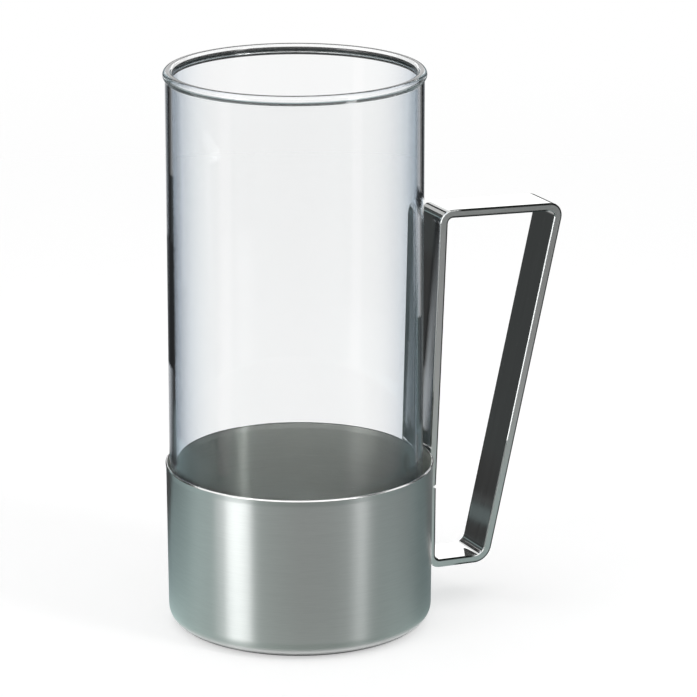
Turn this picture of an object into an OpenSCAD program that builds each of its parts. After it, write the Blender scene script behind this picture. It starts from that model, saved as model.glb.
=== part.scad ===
// Tall heatproof glass standing loose in a drawn steel cup holder with a bent strip handle.
// Millimetres, +Z up. The origin is on the holder's axis at the face it rests on; the handle is on +X.

/* [Glass] */
// Height of the lip above the face the holder rests on
glass_top = 142; // [110:0.5:170]
// Outer diameter of the straight wall
glass_od = 63.7; // [58:0.1:63.7]
// Wall thickness
glass_wall = 1.6; // [1.2:0.1:3]
// Thickness of the bottom above the foot ring
glass_base = 5; // [4:0.1:10]
// Outer radius where the wall turns into the bottom
glass_heel_r = 4; // [3.8:0.1:8]
// Inner radius where the wall turns into the bottom
glass_inner_r = 7; // [2:0.1:12]
// Thickness of the rounded bead along the lip
lip_bead_d = 2.5; // [2.2:0.1:4]
// How far the bead stands out past the wall
lip_proud = 0.6; // [0:0.05:0.8]
// Diameter of the hollow under the bottom, inside the foot ring
push_up_d = 50; // [42:0.5:54]
// Height of that hollow
push_up_h = 2.2; // [1.6:0.1:3.5]
// How far the loose glass has slid away from the handle
glass_shift = 0.9; // [0:0.05:0.95]
// Hairline left between the glass foot and the holder floor
glass_seat_gap = 0.05; // [0.02:0.01:0.3]

/* [Holder] */
// Height of the holder
holder_h = 41.6; // [30:0.1:60]
// Outer diameter of the wall just below the rim
holder_od = 67.1; // [67:0.1:72]
// Lean of the wall that lets the drawn cup leave its die, in degrees
holder_draft = 0.45; // [0:0.05:0.5]
// Sheet thickness
sheet = 0.4; // [0.3:0.05:0.6]
// Outer radius of the bottom corner
holder_corner_r = 4.4; // [3:0.1:4.6]
// Height of the flared band at the rim
rim_flare_h = 1.6; // [1:0.1:3]
// Outward flare at the rim
rim_flare = 0.15; // [0:0.05:0.25]
// Diameter of the disc pressed up in the floor
floor_boss_d = 30; // [20:0.5:32]
// Height of that disc
floor_boss_h = 0.8; // [0.4:0.1:0.9]

/* [Handle] */
// Width of the strip
strip_w = 11.8; // [8:0.1:14]
// Thickness of the strip
strip_t = 2.1; // [1.5:0.05:2.5]
// Height of the strip's top face where it would meet the holder wall
handle_top = 103.6; // [80:0.1:120]
// Height of the strip's underside where it would meet the holder wall
handle_bottom = 9.4; // [7:0.1:14]
// Reach past the wall at the height handle_top
handle_reach = 38.5; // [30:0.1:50]
// Reach past the wall at the height handle_bottom
handle_foot_reach = 17.3; // [14:0.1:26]
// Outward lean of the leg above the seam, in degrees
leg_lean = 2.4; // [1.6:0.05:4]
// Fall of the lower bar away from the wall, in degrees
lower_bar_fall = 1.5; // [0:0.1:4]
// Inner radius of three of the bends
bend_r = 1.4; // [0.8:0.1:3]
// Inner radius of the bend below the grip
low_bend_r = 2.7; // [0.8:0.1:5]
// Height of the seam where the two strip ends meet
seam_z = 31.3; // [24:0.1:34]
// Slit between the two strip ends
seam_gap = 0.2; // [0.1:0.05:0.6]
// Mouth of the V where the eased strip ends meet
seam_mouth = 1.3; // [0.6:0.1:2]
// Depth of that V
seam_depth = 0.7; // [0.2:0.1:1.2]

/* [Welds] */
// Diameter of one spot weld
weld_d = 5; // [3:0.5:6]
// Heights of the spot welds
weld_heights = [17, 25.5, 36];
// Depth of a spot weld into the sheet
weld_in_sheet = 0.2; // [0.1:0.05:0.25]
// Depth of a spot weld into the strip
weld_in_strip = 0.9; // [0.4:0.1:1.2]

/* [Hidden] */
$fn = 96;
glass_r = glass_od / 2;
bore_r = glass_r - glass_wall;
glass_floor_z = sheet + glass_seat_gap;
glass_h = glass_top - glass_floor_z;
bead_r = lip_bead_d / 2;
bead_axis_r = glass_r + lip_proud - bead_r;
push_up_r = push_up_d / 2;
push_up_sphere_r = (push_up_r * push_up_r + push_up_h * push_up_h) / (2 * push_up_h);
holder_r = holder_od / 2;
draft_slope = tan(holder_draft);
corner_axis_r = wall_r(holder_corner_r) - holder_corner_r / cos(holder_draft);
inner_corner_r = holder_corner_r - sheet;
wall_span = sheet / cos(holder_draft);
rim_low_z = holder_h - rim_flare_h;
rim_edge_z = holder_h - sheet / 2;
boss_r = floor_boss_d / 2;
boss_step = sheet * tan(22.5);
strip_clear = 0.05;
bend_lap = 0.002;

// Outer radius of the holder wall at height z, without the flare at the rim
function wall_r(z) = holder_r - (holder_h - z) * draft_slope;

// Place where the tangent from the corner centre touches the leaning wall
function corner_touch(r) =
    [corner_axis_r + r * cos(holder_draft), holder_corner_r - r * sin(holder_draft)];

// Glass

// Filled outline of the glass, half section
module glass_outline() {
    square([glass_r - glass_heel_r, glass_h - bead_r]);
    translate([0, glass_heel_r]) square([glass_r, glass_h - bead_r - glass_heel_r]);
    translate([glass_r - glass_heel_r, glass_heel_r]) circle(r = glass_heel_r);
}

// Drink space, half section
module glass_bore() {
    translate([0, glass_base]) square([bore_r - glass_inner_r, glass_h]);
    translate([0, glass_base + glass_inner_r]) square([bore_r, glass_h]);
    translate([bore_r - glass_inner_r, glass_base + glass_inner_r]) circle(r = glass_inner_r);
}

// Half section of the glass with its lip bead
module glass_section() {
    difference() {
        glass_outline();
        glass_bore();
    }
    translate([bead_axis_r, glass_h - bead_r]) circle(r = bead_r);
}

module glass_tumbler() {
    color([0.85, 0.93, 0.95, 0.35])
    translate([-glass_shift, 0, glass_floor_z])
    difference() {
        rotate_extrude() glass_section();
        translate([0, 0, push_up_h - push_up_sphere_r]) sphere(r = push_up_sphere_r);
    }
}

// Holder

// Half section of the space taken by the drawn cup, filled
module holder_outline() {
    polygon([
        [0, floor_boss_h],
        [boss_r, floor_boss_h],
        [boss_r + floor_boss_h, 0],
        [corner_axis_r, 0],
        [corner_axis_r, holder_corner_r],
        corner_touch(holder_corner_r),
        [wall_r(rim_low_z), rim_low_z],
        [wall_r(rim_edge_z) + rim_flare, rim_edge_z],
        [0, rim_edge_z]
    ]);
    translate([corner_axis_r, holder_corner_r]) circle(r = holder_corner_r);
}

// Half section of the space inside the drawn cup
module holder_inside() {
    polygon([
        [0, floor_boss_h + sheet],
        [boss_r + boss_step, floor_boss_h + sheet],
        [boss_r + floor_boss_h + boss_step, sheet],
        [corner_axis_r, sheet],
        [corner_axis_r, holder_corner_r],
        corner_touch(inner_corner_r),
        [wall_r(rim_low_z) - wall_span, rim_low_z],
        [wall_r(rim_edge_z) + rim_flare - sheet, rim_edge_z],
        [wall_r(rim_edge_z) + rim_flare - sheet, holder_h],
        [0, holder_h]
    ]);
    translate([corner_axis_r, holder_corner_r]) circle(r = inner_corner_r);
}

// Half section of the sheet, with its rounded upper edge
module holder_section() {
    difference() {
        holder_outline();
        holder_inside();
    }
    translate([wall_r(rim_edge_z) + rim_flare - sheet / 2, rim_edge_z]) circle(d = sheet);
}

module cup_holder() {
    color([0.68, 0.71, 0.71])
    difference() {
        rotate_extrude() holder_section();
        handle_spot_welds();
    }
}

// Handle

// The loop is five straight runs, each a point and a heading in the XZ plane, going round clockwise
seam_x = wall_r(seam_z) + strip_clear;
loop_runs = [
    [[seam_x, seam_z], 90 - holder_draft],
    [[seam_x, seam_z], 90 - leg_lean],
    [[holder_r, handle_top], -leg_lean],
    [[holder_r + handle_reach, handle_top], 180 + grip_angle()],
    [[holder_r, handle_bottom], 180 - lower_bar_fall]
];

// Steepness of the grip above the horizontal
function grip_angle() = atan2(handle_top - handle_bottom, handle_reach - handle_foot_reach);

// Unit vector along a heading
function heading(a) = [cos(a), sin(a)];

// A run moved inwards by the given depth
function inset_point(i, depth) = loop_runs[i][0] + depth * heading(loop_runs[i][1] - 90);

// Meeting point of run i with the next one, both moved inwards by depth
function meet(i, depth) =
    let (
        j = (i + 1) % len(loop_runs),
        p = inset_point(i, depth),
        u = heading(loop_runs[i][1]),
        v = heading(loop_runs[j][1]),
        w = inset_point(j, depth) - p
    )
    p + u * (w[0] * v[1] - w[1] * v[0]) / (u[0] * v[1] - u[1] * v[0]);

// Angle through which the strip turns between run i and the next one
function turn(i) = (loop_runs[i][1] - loop_runs[(i + 1) % len(loop_runs)][1] + 720) % 360;

// The four bends: the run each one ends, and its inner radius
bends = [[1, bend_r], [2, bend_r], [3, low_bend_r], [4, bend_r]];

// Tangent points and centre of a bend of radius r between run i and the next one
function bend_start(i, depth, r) = meet(i, depth) - r * tan(turn(i) / 2) * heading(loop_runs[i][1]);
function bend_end(i, depth, r) =
    meet(i, depth) + r * tan(turn(i) / 2) * heading(loop_runs[(i + 1) % len(loop_runs)][1]);
function bend_centre(i, depth, r) = bend_start(i, depth, r) + r * heading(loop_runs[i][1] - 90);

// The two straight runs carried in to the centre of the bend between them
function bend_corner(i, depth, r) =
    [bend_start(i, depth, r), bend_centre(i, depth, r), bend_end(i, depth, r)];

// Filled loop with rounded bends, moved inwards by depth and standing w high
module loop_block(depth, w) {
    grow = strip_t - depth;
    linear_extrude(w, center = true)
    polygon(concat(
        [meet(0, depth)],
        [for (b = bends, p = bend_corner(b[0], depth, b[1] + grow)) p]
    ));
    for (b = bends)
        translate(concat(bend_centre(b[0], depth, b[1] + grow), [0]))
        cylinder(r = b[1] + grow + bend_lap, h = w, center = true);
}

// Slit and V between the two strip ends, standing w high
module seam_cut(w) {
    half_mouth = seam_mouth / 2;
    translate([seam_x - 1, seam_z - seam_gap / 2, -w / 2]) cube([strip_t + 2, seam_gap, w]);
    translate([seam_x + strip_t, seam_z, 0])
    linear_extrude(w, center = true)
    polygon([[-seam_depth, 0], [0, half_mouth], [1, half_mouth], [1, -half_mouth], [0, -half_mouth]]);
}

module handle_strip() {
    color([0.74, 0.76, 0.76])
    difference() {
        rotate([90, 0, 0]) {
            difference() {
                loop_block(0, strip_w);
                loop_block(strip_t, strip_w + 2);
                seam_cut(strip_w + 2);
            }
        }
        handle_spot_welds();
    }
}

// Spot welds along the line where the flat strip touches the round wall
module handle_spot_welds() {
    color([0.5, 0.5, 0.52])
    for (z = weld_heights)
        translate([wall_r(z) - weld_in_sheet, 0, z])
        rotate([0, 90, 0])
        cylinder(d = weld_d, h = weld_in_sheet + weld_in_strip);
}

glass_tumbler();
cup_holder();
handle_strip();
handle_spot_welds();
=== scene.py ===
# %% [markdown]
# # A glass in a steel cup holder
#
# The object is a tall clear tumbler that stands loose in a short cup of drawn
# stainless sheet. A flat steel strip, bent into a closed loop, is spot-welded to
# the cup's wall and is the handle. Nothing here has a free form: the glass and the
# cup are turned shapes, and the handle is one section carried along one path. So
# each piece is worked out as a grid of points with numpy and handed to Blender whole.

# %% Start: load the frame and note the size of the CAD model
import math

import bpy
import numpy as np
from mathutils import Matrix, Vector


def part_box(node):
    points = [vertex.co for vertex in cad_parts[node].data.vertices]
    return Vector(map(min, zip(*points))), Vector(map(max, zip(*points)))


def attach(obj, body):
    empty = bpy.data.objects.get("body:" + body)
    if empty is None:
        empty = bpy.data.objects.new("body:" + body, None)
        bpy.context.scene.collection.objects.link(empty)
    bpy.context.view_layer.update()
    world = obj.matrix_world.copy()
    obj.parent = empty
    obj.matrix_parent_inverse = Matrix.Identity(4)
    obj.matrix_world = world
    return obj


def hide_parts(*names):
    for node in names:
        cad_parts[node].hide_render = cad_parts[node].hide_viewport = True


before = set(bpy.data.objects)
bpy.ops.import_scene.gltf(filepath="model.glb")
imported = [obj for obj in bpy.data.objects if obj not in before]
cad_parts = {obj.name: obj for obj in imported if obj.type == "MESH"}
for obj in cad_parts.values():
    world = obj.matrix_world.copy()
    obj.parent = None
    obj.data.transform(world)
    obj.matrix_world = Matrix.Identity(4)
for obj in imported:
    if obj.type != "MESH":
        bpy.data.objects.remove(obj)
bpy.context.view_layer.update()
scene = bpy.context.scene
MM = 0.001


# %% [markdown]
# ## Sizes
#
# The solids were drawn in millimetres from a few named sizes. The ones that a box
# can show are measured back from the frame, so the dressed pieces follow the CAD
# model. Wall thicknesses, radii, leans and the handle's corners can't be seen in a
# box, so they are written out again here, mostly with the same names.

# %% Sizes in millimetres
glass_low, glass_high = (np.array(c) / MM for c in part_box("glass_tumbler"))
holder_low, holder_high = (np.array(c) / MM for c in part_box("cup_holder"))
strip_low, strip_high = (np.array(c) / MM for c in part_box("handle_strip"))

lip_proud, lip_bead_d = 0.6, 2.5
glass_axis_x = (glass_low[0] + glass_high[0]) / 2
glass_r = (glass_high[1] - glass_low[1]) / 2 - lip_proud
glass_wall, glass_base, glass_heel_r, glass_inner_r = 1.6, 5.0, 4.0, 7.0
push_up_r, push_up_h = 25.0, 2.2

holder_r, holder_h, sheet = 33.55, holder_high[2], 0.4
holder_draft = math.radians(0.45)
holder_corner_r, rim_flare_h, boss_r, boss_h = 4.4, 1.6, 15.0, 0.8

strip_w, strip_t = strip_high[1] - strip_low[1], 2.1
handle_top, handle_bottom, handle_reach, handle_foot_reach = 103.6, 9.4, 38.5, 17.3
leg_lean, lower_bar_fall = math.radians(2.4), math.radians(1.5)
bend_r, low_bend_r = 1.4, 2.7
seam_z, seam_gap, seam_mouth, seam_depth, strip_clear = 31.3, 0.2, 1.3, 0.7, 0.05
weld_heights, weld_d = (17.0, 25.5, 36.0), 5.0


def wall_r(z):
    """Outer radius of the holder wall at height z: the leaning line of the draft."""
    return holder_r - (holder_h - z) * math.tan(holder_draft)


print("glass radius", round(glass_r, 2), "axis at x", round(glass_axis_x, 2))
print("strip width", round(strip_w, 2))

# %% [markdown]
# ## Tools for outlines
#
# Every outline in this object is a chain of straight runs with round corners, as
# bent and drawn metal always is. One helper rounds the corners of a polyline. It
# sets its points closer together near the ends of a run, so that smooth shading
# doesn't bleed from a tight corner into the flat beside it.

# %% Points on a run and on an arc


def run(a, b, n):
    """n points on the straight line a + t (b - a), where t follows half a cosine wave.

    So the points crowd at both ends.
    """
    t = (1 - np.cos(np.linspace(0, np.pi, n)))[:, None] / 2
    return np.asarray(a, float) * (1 - t) + np.asarray(b, float) * t


def arc(centre, radius, start, end, n):
    """n points at centre + radius (cos, sin) for angles from start to end in radians."""
    t = np.linspace(start, end, n)
    return np.asarray(centre, float) + radius * np.stack([np.cos(t), np.sin(t)], 1)


print("a quarter circle ends at", np.round(arc((0, 0), 1, 0, np.pi / 2, 5)[-1], 3).tolist())

# %% Rounded corners


def rounded(corners, radii, bend_steps, run_steps):
    """Polyline with each inner corner replaced by an arc that touches both runs.

    The arc leaves the corner by radius * tan(half the turn). Returns the points and,
    for each one, the heading in radians, which is constant on a run and changes
    evenly along an arc.
    """
    corners = np.asarray(corners, float)
    along = np.diff(corners, axis=0)
    heads = np.arctan2(along[:, 1], along[:, 0])
    unit = along / np.linalg.norm(along, axis=1)[:, None]
    points, headings, begin = [], [], corners[0]
    for i, radius in enumerate(radii):
        turn = (heads[i + 1] - heads[i] + np.pi) % (2 * np.pi) - np.pi
        cut = radius * math.tan(abs(turn) / 2)
        stop, go = corners[i + 1] - cut * unit[i], corners[i + 1] + cut * unit[i + 1]
        side = math.copysign(np.pi / 2, turn)
        centre = stop + radius * np.array([math.cos(heads[i] + side), math.sin(heads[i] + side)])
        points += [run(begin, stop, run_steps)[:-1]]
        headings += [np.full(run_steps - 1, heads[i])]
        points += [arc(centre, radius, heads[i] - side, heads[i] - side + turn, bend_steps)[:-1]]
        headings += [np.linspace(heads[i], heads[i] + turn, bend_steps)[:-1]]
        begin = go
    points += [run(begin, corners[-1], run_steps)]
    headings += [np.full(run_steps, heads[-1])]
    return np.concatenate(points), np.concatenate(headings)


def distances(points):
    """Way along a polyline from its first point to each of its points: the running sum of its steps."""
    return np.r_[0, np.cumsum(np.linalg.norm(np.diff(points, axis=0), axis=1))]


sample, _ = rounded([(0, 0), (10, 0), (10, 5)], [2], 10, 14)
print("a rounded corner has", len(sample), "points and is", round(distances(sample)[-1], 2), "long")

# %% [markdown]
# ## Two ways to make a surface
#
# A turned piece is an outline swung around an axis: radius and height come from
# the outline, and the angle is the second parameter. A bent strip is a section
# carried along a path. Blender has a Screw modifier and a curve bevel for these,
# but a grid of our own gives exact normals, a closed pole and a UV map in metres.
# A last step adds up the signed volume and turns the faces round if it is
# negative, so faces always point outwards.

# %% Mesh from points and faces


def put_mesh(name, points, quads, triangles, quad_uv, triangle_uv):
    """Makes an object from points in mm, four- and three-cornered faces and their UVs in mm."""
    points = np.asarray(points, float) * MM
    corners = np.concatenate([quads[:, [0, 1, 2]], quads[:, [0, 2, 3]], triangles])
    a, b, c = (points[corners[:, i]] for i in range(3))
    if np.einsum("ij,ij->i", a, np.cross(b, c)).sum() < 0:
        quads, triangles = quads[:, ::-1], triangles[:, ::-1]
        quad_uv, triangle_uv = quad_uv[:, ::-1], triangle_uv[:, ::-1]
    mesh = bpy.data.meshes.new(name)
    mesh.from_pydata(points.tolist(), [], quads.tolist() + triangles.tolist())
    uv = np.concatenate([quad_uv.reshape(-1, 2), triangle_uv.reshape(-1, 2)]) * MM
    mesh.uv_layers.new(name="surface").data.foreach_set("uv", uv.ravel())
    mesh.shade_smooth()
    mesh.update()
    piece = bpy.data.objects.new(name, mesh)
    scene.collection.objects.link(piece)
    print(name, "has", len(points), "points and", len(quads) + len(triangles), "faces")
    return piece


def grid_faces(rows, columns, closed):
    """Corner numbers of the quads of a rows x columns grid, whose columns may close on themselves."""
    i, j = np.meshgrid(np.arange(rows - 1), np.arange(columns if closed else columns - 1), indexing="ij")
    k = (j + 1) % columns
    quads = np.stack([i * columns + j, i * columns + k, (i + 1) * columns + k, (i + 1) * columns + j], -1)
    return quads.reshape(-1, 4), i.ravel(), j.ravel()


print("a grid of 3 by 4 points has", len(grid_faces(3, 4, False)[0]), "quads")

# %% Turned pieces


def end_fans(rows, columns):
    """Triangles that close the first and the last ring of a grid.

    Each ring closes onto a point of its own, and the two follow the grid's points.
    """
    k = np.arange(columns)
    after, last_ring = (k + 1) % columns, (rows - 1) * columns
    first = np.stack([np.full(columns, rows * columns), after, k], 1)
    last = np.stack([np.full(columns, rows * columns + 1), last_ring + k, last_ring + after], 1)
    return np.concatenate([first, last])


def turned(name, outline, axis_x=0.0, steps=320):
    """Outline (radius, height) swung round a vertical axis: x = axis + r cos a, y = r sin a, z = h.

    The outline's first and last points are on the axis, and each becomes one pole.
    """
    angle = np.arange(steps) * 2 * np.pi / steps
    r, h = outline[1:-1, 0, None], outline[1:-1, 1, None]
    ring = np.stack([axis_x + r * np.cos(angle), r * np.sin(angle), h + 0 * angle], -1)
    poles = np.array([[axis_x, 0, outline[0, 1]], [axis_x, 0, outline[-1, 1]]])
    rows = len(outline) - 2
    quads, i, j = grid_faces(rows, steps, True)
    k = np.arange(steps)
    length = distances(outline)
    round_step = outline[:, 0].max() * 2 * np.pi / steps
    u = np.stack([j, j + 1, j + 1, j], 1) * round_step
    v = length[np.stack([i, i, i + 1, i + 1], 1) + 1]
    fan_u = np.concatenate([np.stack([k + 0.5, k + 1, k], 1), np.stack([k + 0.5, k, k + 1], 1)]) * round_step
    fan_v = np.repeat(length[[[0, 1, 1], [-1, -2, -2]]], steps, 0)
    fans_uv = np.stack([fan_u, fan_v], -1)
    points = np.concatenate([ring.reshape(-1, 3), poles])
    return put_mesh(name, points, quads, end_fans(rows, steps), np.stack([u, v], -1), fans_uv)


print("a ring of 4 closes with", len(end_fans(2, 4)), "triangles")

# %% [markdown]
# ## The glass
#
# The tumbler is blown or pressed borosilicate: a straight wall under two
# millimetres thick, a heavier bottom with a hollow pushed up under it, and a lip
# that was melted round in a flame, so that it swells into a smooth bead. Light bends
# twice in each wall, so the inside is as important as the outside. A solid of
# revolution with both surfaces in one outline keeps the wall thickness exact.

# %% The lip: a bead with a small neck on each side
foot_z, top_z = glass_low[2], glass_high[2]
bore_r, floor_z = glass_r - glass_wall, foot_z + glass_base
bead_r = lip_bead_d / 2
bead = np.array([glass_r + lip_proud - bead_r, top_z - bead_r])
outer_neck_r, inner_neck_r = 0.5, 1.2


def neck(wall_radius, outward, neck_r):
    """Small hollow arc that blends a wall into the bead: it touches the wall's line and the bead's circle.

    Its centre is neck_r off the wall, at the height where it is bead_r + neck_r away
    from the bead's centre.
    """
    x = wall_radius + outward * neck_r
    z = bead[1] - math.sqrt((bead_r + neck_r) ** 2 - (x - bead[0]) ** 2)
    touch = math.atan2(z - bead[1], x - bead[0])
    return np.array([x, z]), touch


outer_neck, outer_touch = neck(glass_r, 1, outer_neck_r)
inner_neck, inner_touch = neck(bore_r, -1, inner_neck_r)
print("necks start", [round(top_z - n[1], 2) for n in (outer_neck, inner_neck)], "mm below the top")

# %% Glass outline, from the middle of the underside round to the middle of the inner floor
hollow_edge, foot_start, foot_ease_r = 0.6, 0.3, 1.2
wall_steps, curve_steps, neck_steps, bead_steps = 40, 20, 10, 40


def join(*parts):
    """One outline from several, without the doubled point where one part meets the next."""
    whole, same_point = np.concatenate(parts), 1e-6
    keep = np.r_[True, np.linalg.norm(np.diff(whole, axis=0), axis=1) > same_point]
    return whole[keep]


hollow = np.linspace(0, push_up_r - hollow_edge, 30)
sphere = (push_up_r ** 2 + push_up_h ** 2) / (2 * push_up_h)
push_up = np.stack([hollow, foot_z + push_up_h - sphere + np.sqrt(sphere ** 2 - hollow ** 2)], 1)
foot = [push_up[-1], (push_up_r + foot_start, foot_z), (glass_r - glass_heel_r, foot_z)]
crown = np.linspace(bore_r - glass_inner_r, 0, curve_steps)
glass_outline = join(
    push_up[:-1],
    rounded(foot, [foot_ease_r], 8, 8)[0],
    arc((glass_r - glass_heel_r, foot_z + glass_heel_r), glass_heel_r, -np.pi / 2, 0, curve_steps),
    run((glass_r, foot_z + glass_heel_r), (glass_r, outer_neck[1]), wall_steps),
    arc(outer_neck, outer_neck_r, np.pi, np.pi + outer_touch, neck_steps),
    arc(bead, bead_r, outer_touch, 2 * np.pi + inner_touch, bead_steps),
    arc(inner_neck, inner_neck_r, np.pi + inner_touch, 0, neck_steps),
    run((bore_r, inner_neck[1]), (bore_r, floor_z + glass_inner_r), wall_steps),
    arc((bore_r - glass_inner_r, floor_z + glass_inner_r), glass_inner_r, 0, -np.pi / 2, curve_steps),
    np.stack([crown, np.full(curve_steps, floor_z)], 1),
)
glass = turned("clear_tumbler", glass_outline, glass_axis_x)
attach(glass, "glass")
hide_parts("glass_tumbler")
print("wall", round(glass_r - bore_r, 2), "mm, lip bead", lip_bead_d, "mm")

# %% [markdown]
# ## The holder
#
# The cup is drawn from one disc of thin stainless: a die pulls it down, which
# leaves a rounded corner, a wall with a trace of lean and a disc pressed up in the
# floor to keep it from rocking. The rim is trimmed, opened a little and bevelled.
# It is the same idea as the glass: one outline for both sides of the sheet.

# %% Holder outline, outside first
rim_bevel, rim_land, rim_inset, rim_ease_r = 0.27, 0.03, 0.003, 0.05
boss_top_r, boss_foot_r, flare_r = 0.8, 0.4, 4.0
edge_z = holder_h - rim_bevel - rim_land
edge_x = -holder_low[0] - rim_inset - sheet / 2
level_sheet = sheet / math.cos(holder_draft)


def sheet_side(low, radius, rim_x, wall_in, step):
    """One side of the sheet from the axis to the rim: disc, step, floor, corner, wall and flare."""
    corners = [
        (0, boss_h + low), (boss_r + step, boss_h + low), (boss_r + boss_h + step, low),
        (wall_r(0) - wall_in, low), (wall_r(holder_h - rim_flare_h) - wall_in, holder_h - rim_flare_h),
        (rim_x, edge_z),
    ]
    return rounded(corners, [boss_top_r - low, boss_foot_r + low, radius, flare_r], 12, 16)[0]


def trimmed_rim(ease):
    """Edge of the sheet: up, in along a bevel, over the flat top and down.

    The three corners between have the radius ease.
    """
    outer_x, inner_x = edge_x + sheet / 2, edge_x - sheet / 2
    corners = [(outer_x, edge_z), (outer_x, holder_h - rim_bevel), (outer_x - rim_bevel, holder_h),
               (inner_x, holder_h), (inner_x, edge_z)]
    return rounded(corners, [ease, ease, ease], 6, 4)[0]


step_shift = sheet * math.tan(math.pi / 8)
outside = sheet_side(0.0, holder_corner_r, edge_x + sheet / 2, 0.0, 0.0)
inside = sheet_side(sheet, holder_corner_r - sheet, edge_x - sheet / 2, level_sheet, step_shift)
outside_length = distances(outside)[-1]
holder = turned("drawn_cup_holder", join(outside, trimmed_rim(rim_ease_r), inside[::-1]))
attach(holder, "holder")
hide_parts("cup_holder")
print("rim radius", round(edge_x + sheet / 2, 2), "mm")

# %% [markdown]
# ## The handle
#
# A flat strip about two millimetres thick, with its edges eased by tumbling, is
# bent four times and closes on itself low on the wall, where its two ends meet in a
# small V. A curve with a bevel would do for the loop, but not for the eased ends, so
# the section is carried along the path as a grid and the last rings are pulled back
# to open the V.

# %% Handle path in the XZ plane, along the middle of the strip's thickness
grip_angle = math.atan2(handle_top - handle_bottom, handle_reach - handle_foot_reach)
seam_x = wall_r(seam_z) + strip_clear
outer_runs = [
    ((seam_x, seam_z), math.pi / 2 - holder_draft),
    ((seam_x, seam_z), math.pi / 2 - leg_lean),
    ((holder_r, handle_top), -leg_lean),
    ((holder_r + handle_reach, handle_top), math.pi + grip_angle),
    ((holder_r, handle_bottom), math.pi - lower_bar_fall),
]


def direction(angle):
    """Unit vector at an angle in radians."""
    return np.array([math.cos(angle), math.sin(angle)])


def meet(first, second, depth):
    """Point where two runs cross after both are moved inwards, to the right of their heading, by depth."""
    (p, a), (q, b) = first, second
    p, q = p + depth * direction(a - math.pi / 2), q + depth * direction(b - math.pi / 2)
    u, v, w = direction(a), direction(b), q - p
    return p + u * (w[0] * v[1] - w[1] * v[0]) / (u[0] * v[1] - u[1] * v[0])


middle = strip_t / 2
seam_point = meet(outer_runs[0], outer_runs[1], middle)
loop_corners = [meet(outer_runs[i], outer_runs[(i + 1) % 5], middle) for i in (1, 2, 3, 4)]
upper_end = seam_point + direction(outer_runs[1][1]) * seam_gap / 2
lower_end = seam_point - direction(outer_runs[0][1]) * seam_gap / 2
bend_radii = [r + middle for r in (bend_r, bend_r, low_bend_r, bend_r)]
path, heading = rounded([upper_end, *loop_corners, lower_end], bend_radii, 16, 30)
print("strip length", round(distances(path)[-1], 1), "mm")

# %% Handle surface: flat section with eased corners carried along the path
ease_t, ease_w, ease_r, seam_fade = 0.2, 0.3, 0.1, 1.6
half_w = strip_w / 2
inner_t, inner_w = middle - ease_t, half_w - ease_w
section, _ = rounded(
    [(0, half_w), (-inner_t, half_w), (-middle, inner_w), (-middle, -inner_w), (-inner_t, -half_w),
     (inner_t, -half_w), (middle, -inner_w), (middle, inner_w), (inner_t, half_w), (0, half_w)],
    [ease_r] * 8, 5, 8)
around = distances(section)
section = section[:-1]


def bent_strip(name):
    """Section (thickness, width) carried along the path in XZ: point = path + thickness * inward + width * Y.

    Inward is a quarter turn to the right of the heading. The two end rings are pulled
    back along the path, more towards the inner face, which opens the V at the seam.
    """
    rows, columns = len(path), len(section)
    inward = np.stack([np.cos(heading - np.pi / 2), np.sin(heading - np.pi / 2)], 1)
    ahead = np.stack([np.cos(heading), np.sin(heading)], 1)
    length = distances(path)
    pull = (seam_mouth - seam_gap) / 2 * np.clip(1 - (middle - section[:, 0]) / seam_depth, 0, 1)
    fade = np.clip(1 - length / seam_fade, 0, 1) - np.clip(1 - (length[-1] - length) / seam_fade, 0, 1)
    flat = path[:, None] + inward[:, None] * section[None, :, :1]
    flat = flat + ahead[:, None] * (fade[:, None] * pull)[..., None]
    points = np.stack([flat[..., 0], np.broadcast_to(section[:, 1], (rows, columns)), flat[..., 1]], -1)
    caps = np.stack([points[0].mean(0), points[-1].mean(0)])
    quads, i, j = grid_faces(rows, columns, True)
    u, v = length[np.stack([i, i, i + 1, i + 1], 1)], around[np.stack([j, j + 1, j + 1, j], 1)]
    cap_uv = np.stack([np.zeros((2 * columns, 3)), np.tile(section[:, 1, None], (2, 3))], -1)
    all_points = np.concatenate([points.reshape(-1, 3), caps])
    return put_mesh(name, all_points, quads, end_fans(rows, columns), np.stack([u, v], -1), cap_uv)


strip = bent_strip("bent_strip_handle")
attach(strip, "holder")
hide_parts("handle_strip")

# %% [markdown]
# ## Short names for nodes
#
# Shader nodes can be wired by hand in the editor, but a script with one line for
# each link is hard to read. A few helpers make a node and wire it in one go, so a
# mask reads like the sentence that describes it. The first two give back the node,
# and the others the socket with their result.

# %% Node helpers


def add(tree, kind, **settings):
    """New node with its plain settings."""
    made = tree.nodes.new(kind)
    for key, value in settings.items():
        setattr(made, key, value)
    return made


def feed(tree, node, **inputs):
    """Fills a node's inputs: a socket is linked and a plain value is set.

    An input is named, with _ for a space, or numbered as i0, i1 and so on.
    """
    for key, value in inputs.items():
        numbered = key[0] == "i" and key[1:].isdigit()
        socket = node.inputs[int(key[1:]) if numbered else key.replace("_", " ")]
        if isinstance(value, bpy.types.NodeSocket):
            tree.links.new(value, socket)
        else:
            socket.default_value = value
    return node


def calc(tree, operation, *values):
    """Math node on sockets and numbers."""
    made = add(tree, "ShaderNodeMath", operation=operation)
    return feed(tree, made, **{"i%d" % n: v for n, v in enumerate(values)}).outputs[0]


def ramp(tree, value, low, high, start=0.0, end=1.0):
    """Maps a value from low..high to start..end in a smooth step."""
    made = add(tree, "ShaderNodeMapRange", interpolation_type="SMOOTHSTEP")
    feed(tree, made, Value=value, From_Min=low, From_Max=high, To_Min=start, To_Max=end)
    return made.outputs["Result"]


print("helpers:", [helper.__name__ for helper in (add, feed, calc, ramp)])

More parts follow.
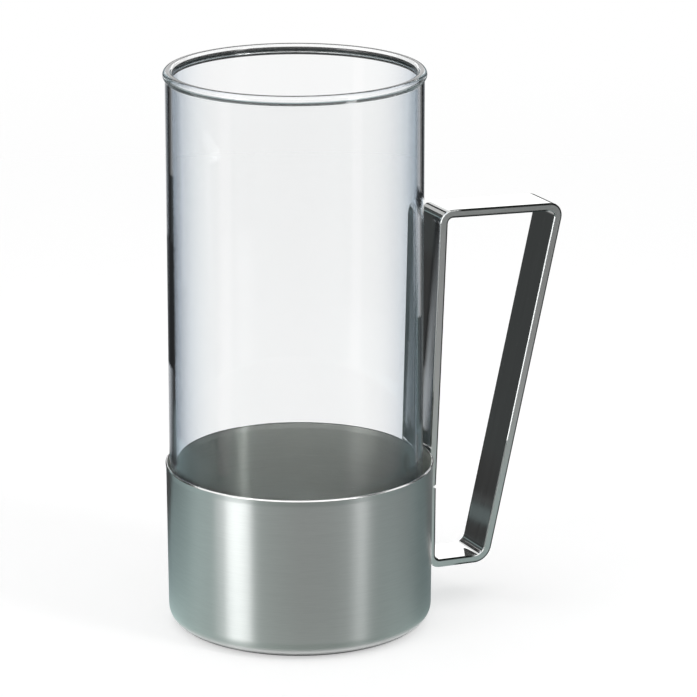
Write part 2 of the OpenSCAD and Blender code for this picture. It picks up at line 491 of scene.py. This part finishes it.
# %% [markdown]
# ## Brush lines
#
# Both steel finishes carry fine lines: the cup was turned against an abrasive belt,
# so its lines run round it, and the strip was polished along its length. The lines
# are noise stretched very far in one direction. One node group makes them from a
# place vector that each material scales in its own way, so the same effect serves
# both finishes.

# %% The shared brush lines


def noise(tree, place, **settings):
    """Noise texture read at a place."""
    return feed(tree, add(tree, "ShaderNodeTexNoise"), Vector=place, **settings).outputs[0]


def new_group(name, outputs):
    """Shader node group with the vector input Place and plain outputs; gives it, that input and its end."""
    group = bpy.data.node_groups.new(name, "ShaderNodeTree")
    group.interface.new_socket("Place", in_out="INPUT", socket_type="NodeSocketVector")
    for output in outputs:
        group.interface.new_socket(output, in_out="OUTPUT", socket_type="NodeSocketFloat")
    return group, add(group, "NodeGroupInput").outputs["Place"], add(group, "NodeGroupOutput")


line_kinds = {"Fine": (1.0, 3.0), "Broad": (0.16, 2.0)}
brush_lines, place, group_out = new_group("brush_lines", line_kinds)
for kind, (scale, detail) in line_kinds.items():
    lines = noise(brush_lines, place, Scale=scale, Detail=detail, Roughness=0.6)
    feed(brush_lines, group_out, **{kind: lines})
print("group brush_lines has", len(brush_lines.nodes), "nodes")

# %% [markdown]
# ## Weld marks
#
# A spot welder squeezes the cup's wall and the strip between two electrodes. Each
# leaves a round dull spot on the face it pressed, with a faint straw-coloured ring of
# heat around it. The marks are inside the cup and on the finger side of the strip, so
# two materials need them, and a second group finds the nearest weld for both.

# %% The shared weld mark
weld_mark, place, group_out = new_group("weld_mark", ("Spot", "Heat"))
level = add(weld_mark, "ShaderNodeVectorMath", operation="MULTIPLY")
feed(weld_mark, level, i0=place, i1=(0.0, 1.0, 1.0))
off_weld = 1.0
for weld_z in weld_heights:
    gap = add(weld_mark, "ShaderNodeVectorMath", operation="DISTANCE")
    feed(weld_mark, gap, i0=level.outputs[0], i1=(0.0, 0.0, weld_z * MM))
    off_weld = calc(weld_mark, "MINIMUM", gap.outputs["Value"], off_weld)
spot_r = weld_d / 2 * MM
feed(weld_mark, group_out, Spot=ramp(weld_mark, off_weld, 0.76 * spot_r, 0.9 * spot_r, 1.0, 0.0),
     Heat=ramp(weld_mark, off_weld, 0.8 * spot_r, 1.5 * spot_r, 1.0, 0.0))
print("group weld_mark has", len(weld_mark.nodes), "nodes")

# %% [markdown]
# ## Clear glass
#
# Clear glass gets its look from what is around it. The shader is a smooth
# dielectric at the index of borosilicate. A trace of absorption makes long paths a
# little cooler. Where the wall is seen at a slant, which Layer Weight finds, its
# colour is painted pale blue and darker: painted shade on the sides of the glass.
# A very low bump gives the slow ripple that drawn glass has.
# Transmission stays a plain number.

# %% Helpers for materials


def new_material(name):
    """Material with a node tree; gives it, the tree and its Principled shader."""
    made = bpy.data.materials.new(name)
    made.use_nodes = True
    return made, made.node_tree, made.node_tree.nodes["Principled BSDF"]


def split(tree, vector):
    """The three coordinates of a vector."""
    return feed(tree, add(tree, "ShaderNodeSeparateXYZ"), Vector=vector).outputs


def times(tree, first, *others):
    """Product of sockets and numbers; masks that are multiplied hold where all of them do."""
    for other in others:
        first = calc(tree, "MULTIPLY", first, other)
    return first


def tint(tree, amount, first, second):
    """Colour that goes from first to second as the amount goes from 0 to 1.

    Each of the two is a socket or a plain colour.
    """
    first, second = (c if isinstance(c, bpy.types.NodeSocket) else (*c, 1) for c in (first, second))
    made = add(tree, "ShaderNodeMix", data_type="RGBA")
    return feed(tree, made, i0=amount, i6=first, i7=second).outputs[2]


def relief(tree, shader, height, strength, distance):
    """Bump from a height, on the shader's Normal."""
    bump = feed(tree, add(tree, "ShaderNodeBump"), Strength=strength, Distance=distance, Height=height)
    feed(tree, shader, Normal=bump.outputs[0])


print("helpers:", [helper.__name__ for helper in (new_material, split, times, tint, relief)])

# %% Material: clear glass
clear_glass, tree, shader = new_material("clear_borosilicate")
feed(tree, shader, Metallic=0.0, IOR=1.473, Transmission_Weight=1.0)
slant = feed(tree, add(tree, "ShaderNodeLayerWeight"), Blend=0.5).outputs["Facing"]
spot = add(tree, "ShaderNodeTexCoord").outputs["Object"]
height = split(tree, spot)[2]
below_lip = ramp(tree, height, (top_z - 3.0) * MM, (top_z - 2.4) * MM, 1.0, 0.0)
# Painted shade: below the lip the colour turns pale blue and darker where the wall is seen at a slant.
flank_painted_shade = tint(tree, times(tree, ramp(tree, slant, 0.2, 0.95), below_lip), (1.0, 1.0, 1.0), (0.54, 0.65, 0.78))
stretch = feed(tree, add(tree, "ShaderNodeMapping"), Vector=spot, Scale=(1.0, 1.0, 0.35))
relief(tree, shader, noise(tree, stretch.outputs[0], Scale=60.0, Detail=1.0), 0.25, 0.05 * MM)
haze = noise(tree, spot, Scale=35.0, Detail=4.0, Roughness=0.6)
feed(tree, shader, Roughness=ramp(tree, haze, 0.45, 0.8, 0.0, 0.03))
soak = feed(tree, add(tree, "ShaderNodeVolumeAbsorption"), Color=(0.55, 0.80, 0.92, 1), Density=9.0)
feed(tree, tree.nodes["Material Output"], Volume=soak.outputs[0])
glass.data.materials.append(clear_glass)
print("glass material:", clear_glass.name)

# %% [markdown]
# ## Dark lines along the lip
#
# A bead of glass is a strong lens, and what it shows in a white studio is mostly
# the dark room behind the lamps: thin black lines that run along the lip. A whole
# dark room would spoil the rest, so the lines are painted where light enters the
# bead: one on its crest, where that is seen at a slant, and two on its inner side.

# %% Rings on the bead
entering = calc(tree, "SUBTRACT", 1.0, add(tree, "ShaderNodeNewGeometry").outputs["Backfacing"])
axis_point = feed(tree, add(tree, "ShaderNodeCombineXYZ"), X=glass_axis_x * MM, Z=height).outputs[0]
off_axis = feed(tree, add(tree, "ShaderNodeVectorMath", operation="DISTANCE"), i0=spot, i1=axis_point)
inner_side = ramp(tree, off_axis.outputs["Value"], (bead[0] - 0.6) * MM, (bead[0] - 0.5) * MM, 1.0, 0.0)


def band(tree, value, rise, fall):
    """Mask that comes up over the span rise and goes down over the span fall, both in mm."""
    return times(tree, ramp(tree, value, rise[0] * MM, rise[1] * MM),
                 ramp(tree, value, fall[0] * MM, fall[1] * MM, 1.0, 0.0))


def lip_ring(low, high, soft=0.06):
    """Mask of a ring on the lip between two heights in mm from the middle of the bead."""
    low, high = bead[1] + low, bead[1] + high
    return band(tree, height, (low - soft, low + soft), (high - soft, high + soft))


# Painted dark reflection: two dark rings on the bead's inner side, here, and one on its crest.
painted_inner_rings = times(tree, calc(tree, "MAXIMUM", lip_ring(-0.5, 0.56), lip_ring(-1.5, -0.95)), inner_side)
on_top = ramp(tree, height, (top_z - 0.17) * MM, (top_z - 0.09) * MM)
crest = times(tree, on_top, ramp(tree, slant, 0.2, 0.45))
lip_line = times(tree, calc(tree, "MAXIMUM", crest, painted_inner_rings), entering)
feed(tree, shader, Base_Color=tint(tree, lip_line, flank_painted_shade, (0.003, 0.003, 0.003)))
print("rings on a bead", round(bead[0], 2), "mm from the axis, at", round(bead[1], 2), "mm")

# %% [markdown]
# ## Light kept in the wall
#
# Seen from above, the lip looks down into the wall, and light that enters there
# runs on between the two faces as in a glass fibre. Cycles follows only a few such
# reflections and then gives black, so at the last one the wall glows a little in
# place of the light that was dropped. Only steep paths count: those that run round
# the glass are dark in a real studio too.

# %% Glow at the last reflection
last_reflection, kept_light = 4.0, (0.36, 0.42, 0.44)
reflections = add(tree, "ShaderNodeLightPath").outputs["Glossy Depth"]
bounced = calc(tree, "COMPARE", reflections, last_reflection, 0.5)
upper_wall = ramp(tree, height, (top_z - 65.0) * MM, (top_z - 30.0) * MM)
steep = ramp(tree, slant, 0.33, 0.46)
kept = times(tree, bounced, upper_wall, steep, calc(tree, "SUBTRACT", 1.0, entering))
feed(tree, shader, Emission_Color=tint(tree, kept, (0.0, 0.0, 0.0), kept_light), Emission_Strength=1.0)
clear_glass.cycles.emission_sampling = "NONE"
print("glass material has", len(tree.nodes), "nodes")

# %% [markdown]
# ## Brushed sheet
#
# Turned against a belt, the cup's wall spreads a highlight up and down but hardly
# sideways. That is an anisotropic metal: the roughness is split along the tangent,
# which runs round the axis here. The grain itself comes from the shared group, with
# the fast direction set to height plus radius, so the lines are level on the wall
# and rings on the floor. The inside is duller, and its colour is painted lighter and
# warmer than the outside, which is painted light inside the cup. The trimmed rim is
# glossier and painted near white, a painted highlight, and the welds have marked the
# wall on the handle's side.

# %% Material: brushed sheet


def use_group(tree, group, place):
    """A group put into a material at a place; gives its outputs."""
    return feed(tree, add(tree, "ShaderNodeGroup", node_tree=group), Place=place).outputs


brushed_sheet, tree, shader = new_material("brushed_stainless")
feed(tree, shader, Metallic=1.0, Anisotropic=0.95, Anisotropic_Rotation=0.25)
turn_round = add(tree, "ShaderNodeTangent", direction_type="RADIAL", axis="Z")
feed(tree, shader, Tangent=turn_round.outputs[0])
coordinates = add(tree, "ShaderNodeTexCoord").outputs
spot = coordinates["Object"]
x, y, z = split(tree, spot)
grain_fast, grain_slow = 5200.0, 200.0
radius = calc(tree, "SQRT", calc(tree, "ADD", calc(tree, "POWER", x, 2.0), calc(tree, "POWER", y, 2.0)))
place = add(tree, "ShaderNodeCombineXYZ")
feed(tree, place, X=times(tree, x, grain_slow), Y=times(tree, y, grain_slow),
     Z=times(tree, calc(tree, "ADD", z, radius), grain_fast))
brush = use_group(tree, brush_lines, place.outputs[0])
grain = calc(tree, "ADD", times(tree, brush["Fine"], 0.75), times(tree, brush["Broad"], 0.25))
lay = ramp(tree, grain, 0.3, 0.7)
print("holder material:", brushed_sheet.name)

# %% Colour of the sheet
along = split(tree, coordinates["UV"])[1]
inner = ramp(tree, along, (outside_length + 0.7) * MM, (outside_length + 1.0) * MM)
past_outside = ramp(tree, along, (outside_length - 0.05) * MM, (outside_length + 0.05) * MM)
rim = calc(tree, "SUBTRACT", past_outside, inner)
# Painted light: the inside of the cup is painted lighter than the outside.
steel = tint(tree, inner, tint(tree, lay, (0.62, 0.63, 0.625), (0.66, 0.67, 0.665)),
             tint(tree, lay, (0.77, 0.795, 0.735), (0.83, 0.855, 0.795)))
marks = use_group(tree, weld_mark, spot)
handle_side = times(tree, inner, calc(tree, "GREATER_THAN", x, 20 * MM))
heated = tint(tree, times(tree, handle_side, marks["Heat"], 0.7), steel, (0.52, 0.48, 0.40))
# Painted highlight: the trimmed rim is painted near white, on top of its real gloss.
feed(tree, shader, Base_Color=tint(tree, rim, heated, (0.93, 0.93, 0.92)))
print("weld marks inside the cup at", weld_heights, "mm")

# %% Roughness and relief of the sheet
rough = calc(tree, "ADD", ramp(tree, grain, 0.3, 0.7, 0.34, 0.32), times(tree, inner, 0.15))
rough = calc(tree, "ADD", rough, times(tree, handle_side, marks["Spot"], 0.15))
feed(tree, shader, Roughness=calc(tree, "SUBTRACT", rough, times(tree, rim, 0.2)))
relief(tree, shader, grain, 0.15, 0.01 * MM)
holder.data.materials.append(brushed_sheet)
print("holder material has", len(tree.nodes), "nodes")

# %% [markdown]
# ## Polished strip
#
# The strip's broad faces are buffed nearly to a mirror, and its sheared edges keep
# a satin finish from tumbling. The width coordinate tells the two apart. The edges
# are painted lighter low down and darker towards the top, as painted light. Along the
# eased corners a dark line is painted, a painted dark reflection, on the outside of
# the loop beyond the leg and on the inside of it before the grip. The UV map finds the
# corners, because its second coordinate runs round the section. The electrodes
# marked the strip on its finger side.

# %% Material: polished strip
polished_strip, tree, shader = new_material("polished_stainless")
feed(tree, shader, Metallic=1.0)
coordinates = add(tree, "ShaderNodeTexCoord").outputs
x, y, z = split(tree, coordinates["Object"])
edge = ramp(tree, calc(tree, "ABSOLUTE", y), (half_w - 0.06) * MM, (half_w - 0.02) * MM)
lay = feed(tree, add(tree, "ShaderNodeMapping"), Vector=coordinates["UV"], Scale=(90.0, 4200.0, 1.0))
brush = use_group(tree, brush_lines, lay.outputs[0])
wear = calc(tree, "ADD", times(tree, brush["Fine"], 0.6), times(tree, brush["Broad"], 0.4))
buffed = tint(tree, ramp(tree, wear, 0.25, 0.75), (0.64, 0.65, 0.645), (0.72, 0.73, 0.725))
# Painted light: the narrow edges are painted lighter low down and darker towards the top.
painted_edge_light = tint(tree, ramp(tree, z, 20 * MM, 70 * MM), (0.98, 0.97, 0.96), (0.84, 0.84, 0.83))
near_top = ramp(tree, z, (handle_top - 8.0) * MM, (handle_top - 4.0) * MM)
faces = tint(tree, edge, buffed, tint(tree, near_top, painted_edge_light, (0.8, 0.81, 0.8)))
print("strip material:", polished_strip.name)

# %% Dark lines along the strip's corners
# Painted dark reflection: near black lines along the eased corners.
round_way, half_round = split(tree, coordinates["UV"])[1], around[-1] / 2
off_middle = calc(tree, "PINGPONG", round_way, half_round / 2 * MM)
line_rise, line_fall = (inner_t - 0.42, inner_t - 0.12), (inner_t + 0.3, inner_t + 0.4)
corner = band(tree, off_middle, line_rise, line_fall)
past_leg = ramp(tree, x, (holder_r + 6.5) * MM, (holder_r + 9.0) * MM)
grip_slope = (handle_reach - handle_foot_reach) / (handle_top - handle_bottom)
grip_x = holder_r + handle_foot_reach - grip_slope * handle_bottom
upright_x = calc(tree, "SUBTRACT", x, times(tree, z, grip_slope))
before_grip = ramp(tree, upright_x, (grip_x - 5.5) * MM, (grip_x - 4.0) * MM, 1.0, 0.0)
outer_half = calc(tree, "LESS_THAN", round_way, half_round * MM)
dark_side = feed(tree, add(tree, "ShaderNodeMix"), i0=outer_half, i2=before_grip, i3=past_leg).outputs[0]
# The corner lines are painted near black on the strip's colour: painted dark reflection.
skin = tint(tree, times(tree, corner, dark_side), faces, (0.02, 0.021, 0.02))
print("corner lines are", round(line_fall[1] - line_rise[0], 2), "mm wide")

# %% Weld marks and gloss of the strip
marks = use_group(tree, weld_mark, coordinates["Object"])
finger_side = times(tree, calc(tree, "GREATER_THAN", x, (seam_x + middle) * MM),
                    calc(tree, "LESS_THAN", x, (seam_x + 2 * strip_t) * MM))
heat = times(tree, finger_side, marks["Heat"], 0.7)
feed(tree, shader, Base_Color=tint(tree, heat, skin, (0.42, 0.39, 0.33)))
gloss = calc(tree, "ADD", ramp(tree, wear, 0.3, 0.75, 0.04, 0.11), times(tree, edge, 0.24))
feed(tree, shader, Roughness=calc(tree, "ADD", gloss, times(tree, finger_side, marks["Spot"], 0.3)))
relief(tree, shader, wear, 0.1, 0.005 * MM)
strip.data.materials.append(polished_strip)
print("strip material has", len(tree.nodes), "nodes")

# %% [markdown]
# ## Weld metal
#
# The welds are hidden between wall and strip, and only a thin edge of them can show
# in the slit. Their CAD shape is right, so they keep it and only take a scorched,
# pitted finish.

# %% Material: weld metal
weld_metal, tree, shader = new_material("scorched_weld")
spot = add(tree, "ShaderNodeTexCoord").outputs["Object"]
mottle = noise(tree, spot, Scale=900.0, Detail=4.0, Roughness=0.65)
scorch = tint(tree, ramp(tree, mottle, 0.35, 0.65), (0.28, 0.24, 0.22), (0.46, 0.44, 0.43))
feed(tree, shader, Metallic=1.0, Base_Color=scorch, Roughness=ramp(tree, mottle, 0.3, 0.7, 0.35, 0.6))
relief(tree, shader, mottle, 0.4, 0.1 * MM)
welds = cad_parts["handle_spot_welds"]
for weld_slot in welds.material_slots:
    weld_slot.material = weld_metal
print("welds use", weld_metal.name, "in", len(welds.material_slots), "slot(s)")

# %% [markdown]
# ## Camera
#
# A long lens far away and a little above: the photograph's edges were fitted for
# the place of the camera and its lens, so it stands where the photographer stood.

# %% Camera
camera_data = bpy.data.cameras.new("camera")
camera = bpy.data.objects.new("camera", camera_data)
scene.collection.objects.link(camera)
bpy.context.scene.camera = camera
stand, aim = Vector((-0.39910, -0.87180, 0.34512)), Vector((0.01114, -0.00529, 0.07065))
camera_data.lens, camera_data.sensor_width = 206.30, 36.0
camera_data.clip_start, camera_data.clip_end = 0.05, 50.0
camera.location = stand
camera.rotation_mode = "QUATERNION"
camera.rotation_quaternion = (aim - stand).to_track_quat("-Z", "Y")
print("camera", round((aim - stand).length, 3), "m away")

# %% [markdown]
# ## Studio
#
# The room and the floor are white to the camera, and to rays that metal or glass
# has turned. To all other rays the room is about half as bright and the floor has no
# light of its own, so the lamps still shape the object. The floor fades out before
# its edge, so no horizon shows, and it is clear from below, so that the underside
# can be looked at.

# %% White room
scene.view_settings.view_transform = "Standard"


def looked_at(tree):
    """1 for rays that come from the camera, also after a mirror or glass has turned them."""
    rays = add(tree, "ShaderNodeLightPath").outputs
    turned_rays = calc(tree, "MAXIMUM", rays["Is Glossy Ray"], rays["Is Transmission Ray"])
    return calc(tree, "MAXIMUM", rays["Is Camera Ray"], turned_rays)


world = bpy.data.worlds.new("white_room")
scene.world = world
world.use_nodes = True
tree = world.node_tree
room_light = ramp(tree, looked_at(tree), 0.0, 1.0, 0.55, 1.0)
feed(tree, tree.nodes["Background"], Color=(1, 1, 1, 1), Strength=room_light)
print("room:", world.name)

# %% Floor
floor_span, floor_level = 1.5, -0.0002


def see_through_where(name, amount_of, shader_of):
    """Material that mixes its own shader with clear by an amount; both are functions of its node tree."""
    paint = bpy.data.materials.new(name)
    paint.use_nodes = True
    tree = paint.node_tree
    tree.nodes.clear()
    pick = feed(tree, add(tree, "ShaderNodeMixShader"), i0=amount_of(tree), i1=shader_of(tree).outputs[0],
                i2=add(tree, "ShaderNodeBsdfTransparent").outputs[0])
    feed(tree, add(tree, "ShaderNodeOutputMaterial"), Surface=pick.outputs[0])
    return paint


def floor_clear(tree):
    """1 far from the object and from below."""
    away = add(tree, "ShaderNodeVectorMath", operation="LENGTH")
    feed(tree, away, i0=add(tree, "ShaderNodeTexCoord").outputs["Object"])
    far = ramp(tree, away.outputs["Value"], 0.25, 0.7)
    return calc(tree, "MAXIMUM", far, add(tree, "ShaderNodeNewGeometry").outputs["Backfacing"])


def floor_shader(tree):
    """Matt grey that takes the shadow, lifted to white for rays that look at it."""
    matt = feed(tree, add(tree, "ShaderNodeBsdfDiffuse"), Color=(0.6, 0.6, 0.6, 1))
    glow = times(tree, looked_at(tree), 0.5)
    lift = feed(tree, add(tree, "ShaderNodeEmission"), Color=(1, 1, 1, 1), Strength=glow)
    return feed(tree, add(tree, "ShaderNodeAddShader"), i0=matt.outputs[0], i1=lift.outputs[0])


floor_mesh = bpy.data.meshes.new("floor")
floor_sides = [(-1, -1), (1, -1), (1, 1), (-1, 1)]
floor_corners = [(x * floor_span, y * floor_span, floor_level) for x, y in floor_sides]
floor_mesh.from_pydata(floor_corners, [], [(0, 1, 2, 3)])
floor = bpy.data.objects.new("floor", floor_mesh)
scene.collection.objects.link(floor)
floor.data.materials.append(see_through_where("floor_paint", floor_clear, floor_shader))
print("floor", 2 * floor_span, "m wide")

# %% [markdown]
# ## Cards
#
# White surroundings make steel look flat and glass disappear, so a product
# photographer hangs grey and black cards around the object and keeps white straight
# behind it. The cards here go further: mirror cards show only to rays that something
# has reflected, and lens cards only to rays that glass has bent. To the camera, and
# straight through the glass, everything stays white. Each card is a piece of a ring
# round the object, so its place is given by turns from the camera's side, in degrees.
# Places and greys were found by trial against the photograph. They stand in for its
# studio, which isn't known.

# %% Paint of the cards


def card_paint(name, counter, other=None):
    """Glowing card that shows where the ray's counter is above 0 and, if given, the other one is 0."""
    def hidden(tree):
        """1 for rays that don't see the card."""
        rays = add(tree, "ShaderNodeLightPath").outputs
        shows = calc(tree, "GREATER_THAN", rays[counter], 0.5)
        if other:
            shows = times(tree, shows, calc(tree, "LESS_THAN", rays[other], 0.5))
        return calc(tree, "SUBTRACT", 1.0, shows)

    def glow(tree):
        """Light in the shade that is stored on the card's points."""
        shade = add(tree, "ShaderNodeAttribute", attribute_name="shade")
        return feed(tree, add(tree, "ShaderNodeEmission"), Color=shade.outputs["Color"], Strength=1.0)

    return see_through_where(name, hidden, glow)


mirror_card = card_paint("mirror_card", "Glossy Depth")
lens_card = card_paint("lens_card", "Transmission Depth", "Glossy Depth")
print("card paints:", mirror_card.name, "and", lens_card.name)

# %% How a card is made
look = np.array([stand.x, stand.y])
toward = look / np.linalg.norm(look)
sideways = np.array([-toward[1], toward[0]])
card_steps, cast_turn, cast_grey = 121, 150, 0.25
cast_front, cast_back = np.array([0.84, 1.0, 0.91]), np.array([0.76, 1.0, 1.02])


def studio_direction(turn):
    """Unit vectors on the floor, turned from the camera's side towards its right by degrees."""
    t = np.radians(turn)
    return np.cos(t)[..., None] * toward + np.sin(t)[..., None] * sideways


def card(name, paint, turns, reach, heights, by_turn, by_row=(1.0, 1.0), cast=True):
    """Card on the grid turn x row: place = reach * direction(turn), at the row's height.

    Its grey is a straight-line curve through the pairs (turn, grey), times the row's value.
    A cast makes mid greys a little green in front and a little blue towards the back.
    """
    turn, rows = np.linspace(*turns, card_steps), len(reach)
    reach, heights = np.asarray(reach, float)[:, None, None], np.asarray(heights, float)[:, None, None]
    flat = studio_direction(turn)[None] * reach
    points = np.concatenate([flat, np.broadcast_to(heights, (rows, card_steps, 1))], -1)
    mesh = bpy.data.meshes.new(name)
    mesh.from_pydata(points.reshape(-1, 3).tolist(), [], grid_faces(rows, card_steps, False)[0].tolist())
    grey = np.interp(turn, *np.transpose(by_turn))[None] * np.asarray(by_row, float)[:, None]
    back = np.clip(np.abs(turn) / cast_turn, 0, 1)[:, None]
    hue = (1 - back) * cast_front + back * cast_back
    depth = np.clip(grey / cast_grey, 0, 1)[..., None]
    colour = np.ones((rows, card_steps, 4))
    colour[..., :3] = grey[..., None] * (1 + depth * (hue - 1) if cast else 1.0)
    mesh.attributes.new("shade", "FLOAT_COLOR", "POINT").data.foreach_set("color", colour.ravel())
    made = bpy.data.objects.new(name, mesh)
    scene.collection.objects.link(made)
    made.data.materials.append(paint)
    made.visible_diffuse = made.visible_shadow = False
    print(name, "covers turns", turns)


print("a card has", card_steps, "columns")

# %% [markdown]
# ## What the holder mirrors
#
# The holder's wall sees the floor in front of it and the far side of the room. Two
# floor rings and a low curtain carry the slow change from light to dark that makes
# it look round, and a narrow bright ring at the foot draws the thin line above the
# floor.

# %% Rings and curtain
near_greys = [(-180, 0.08), (-150, 0.2), (-132, 0.4), (-105, 0.53), (-84, 0.6), (-40, 0.36), (0, 0.205),
              (20, 0.205), (35, 0.23), (50, 0.29), (66, 0.34), (75, 0.32), (95, 0.265), (115, 0.25),
              (130, 0.23), (150, 0.16), (180, 0.07)]
far_greys = [(-180, 0.04), (-146, 0.06), (-134, 0.07), (-122, 0.06), (-114, 0.14), (-100, 0.28), (-80, 0.36),
             (-60, 0.3), (-40, 0.22), (-20, 0.14), (0, 0.12), (45, 0.2), (83, 0.25), (115, 0.22),
             (135, 0.2), (140, 0.06), (180, 0.04)]
even = [(-180, 1.0), (180, 1.0)]
under, over = -0.0001, 0.0001
all_round = (-180, 180)
card("near_ring", mirror_card, all_round, [0.0337, 0.038, 0.043, 0.055, 0.18], [under] * 5, near_greys,
     (1.52, 1.5, 1.2, 1.07, 1.0))
card("far_ring", mirror_card, all_round, [0.18, 1.4], [under] * 2, far_greys)
card("curtain", mirror_card, all_round, [1.4, 1.4], [-0.02, 0.28], far_greys)
card("foot_line", mirror_card, all_round, [0.0289, 0.0319, 0.0322, 0.0329, 0.0337], [under] * 5, even,
     (0.0, 0.0, 1.35, 1.35, 0.34), False)

# %% [markdown]
# ## What the strip mirrors
#
# A polished strip is dark where it sees a black flag and white where it sees the
# room. A tall flag at the left darkens the inner face of the grip, with a lighter
# stripe for its bend, and low cards light the narrow edges and the leg.

# %% Flags and glows for the strip
card("left_flag", mirror_card, (-160, -108), [1.38] * 4 + [1.3] * 4,
     [0.25, 0.34, 0.36, 0.40, 0.43, 0.6, 0.64, 1.0], even, (0.05, 0.08, 0.42, 0.42, 0.1, 0.1, 0.02, 0.02))
card("bend_stripe", mirror_card, (-152, -134), [1.28, 1.28], [0.66, 0.86], even, (0.7, 0.7), False)
card("grip_foot", mirror_card, (-152, -132), [0.1, 0.15], [over] * 2, even, (0.055, 0.055), False)
card("grip_patch", mirror_card, (-142, -128), [0.15, 0.165, 0.195, 0.215], [2 * over] * 4,
     [(-142, 0.3), (-140, 1.0), (-128, 1.0)], (0.06, 0.17, 0.17, 0.05))
card("leg_glow", mirror_card, (-180, -163.5), [0.104] * 6, [0.02, 0.032, 0.04, 0.05, 0.06, 0.078], even,
     (0.5, 0.5, 0.38, 0.28, 0.16, 0.03), False)
card("side_glow", mirror_card, (40, 100), [0.16, 0.22, 0.3, 0.33, 0.36, 0.42, 0.7], [over] * 7,
     [(40, 0.6), (50, 1.4), (57, 1.5), (64, 0.7), (85, 0.7), (100, 0.6)],
     (0.4, 0.31, 0.38, 0.3, 0.09, 0.08, 0.2), False)
card("corner_glow", mirror_card, (-70, -58), [0.17, 1.3], [over] * 2, even, (0.65, 0.65), False)
card("line_glow", mirror_card, (-75, -48), [1.2, 1.2], [0.0, 0.4], even, (2.0, 2.0), False)

# %% [markdown]
# ## What the glass mirrors
#
# At its sides the wall is seen edge on, and there it mirrors a narrow part of the
# room behind it. Small black steps in the light there draw the thin dark contour
# that keeps clear glass apart from a white background. A dark ceiling, for bent rays
# only, darkens the lip. The last two cards are bright, one behind and one high in front.

# %% Cards for the contour, the lip and the back
card("edge_left_near", mirror_card, (-180, -130), [0.15, 0.24], [over] * 2,
     [(-180, 0.6), (-158, 0.6), (-155, 0.45), (-151, 0.3), (-147.5, 0.22), (-145, 0.03), (-142, 0.008),
      (-140, 0.02), (-138.5, 0.08), (-136, 0.09), (-130, 0.07)], cast=False)
card("edge_left_mid", mirror_card, (-180, -130), [0.24, 0.4], [over] * 2,
     [(-180, 0.5), (-166, 0.4), (-163, 0.1), (-160, 0.03), (-142, 0.02), (-136, 0.045), (-130, 0.06)],
     cast=False)
card("edge_left_far", mirror_card, (-180, -147), [0.4, 1.35], [over] * 2,
     [(-180, 0.55), (-164, 0.55), (-160, 0.12), (-157, 0.05), (-153, 0.008), (-147, 0.008)], cast=False)
card("edge_left_slit", mirror_card, (-147, -138), [0.5, 1.35], [over] * 2,
     [(-147, 0.02), (-145, 0.35), (-138, 0.35)], cast=False)
card("edge_right", mirror_card, (140, 180), [0.3, 1.35], [over] * 2,
     [(140, 0.5), (149, 0.5), (152, 0.008), (160, 0.02), (164, 0.1), (169, 0.35), (180, 0.5)], cast=False)
card("right_flag", mirror_card, (120, 160), [1.38, 1.3], [0.25, 1.0], [(120, 0.05), (160, 0.05)])
card("high_flag", mirror_card, (70, 150), [1.0, 0.25], [1.1, 1.45], [(70, 0.1), (150, 0.1)])
ceiling_r, ceiling_up = 1.5, np.radians([5, 9, 14, 30, 60, 89.9])
ceiling_reach, ceiling_z = ceiling_r * np.cos(ceiling_up), ceiling_r * np.sin(ceiling_up)
card("lens_ceiling", lens_card, all_round, ceiling_reach, ceiling_z, even, (1.0, 0.5, 0.1, 0.04, 0.04, 0.04))
card("back_glow", mirror_card, (140, 220), [1.45, 1.4, 1.3], [0.2, 0.45, 0.75],
     [(140, 1.0), (160, 1.6), (200, 1.6), (220, 1.0)], (1.0, 1.0, 1.0), False)
card("front_glow", mirror_card, (-75, 75), [1.3, 1.0, 0.6], [0.6, 1.0, 1.25],
     [(-75, 1.2), (-40, 2.0), (40, 2.0), (75, 1.2)], (1.0, 1.0, 1.0), False)

# %% [markdown]
# ## Lamps
#
# Two soft boxes in front give the two bright bands on the holder, and a large top
# light gives the soft shadow. Blender spreads a lamp's power over its area, so each
# one is given by its brightness, which is what the metal shows, and the power is
# worked out from that.

# %% Soft boxes and a top light
lamp_aim = Vector((0, 0, 0.06))


def soft_box(name, turn, distance, height, wide, tall, brightness, glossy=True, through=True):
    """Area lamp facing the object; its power is brightness x pi x area, so brightness is what metal sees."""
    lamp = bpy.data.lights.new(name, "AREA")
    lamp.shape, lamp.size, lamp.size_y = "RECTANGLE", wide, tall
    lamp.energy = brightness * math.pi * wide * tall
    made = bpy.data.objects.new(name, lamp)
    scene.collection.objects.link(made)
    x, y = studio_direction(np.array(float(turn))) * distance
    made.location = (x, y, height)
    made.rotation_euler = (lamp_aim - made.location).to_track_quat("-Z", "Y").to_euler()
    made.visible_glossy = glossy
    made.visible_transmission = through
    made.visible_camera = False
    print(name, "at", [round(v, 2) for v in made.location])


soft_box("left_soft_box", -52.2, 0.9, 0.2, 0.36, 0.4, 5.3, through=False)
soft_box("right_soft_box", 55, 0.9, 0.62, 0.17, 0.7, 6.0)
soft_box("top_light", 180, 0.15, 1.0, 0.7, 0.7, 1.6, glossy=False)
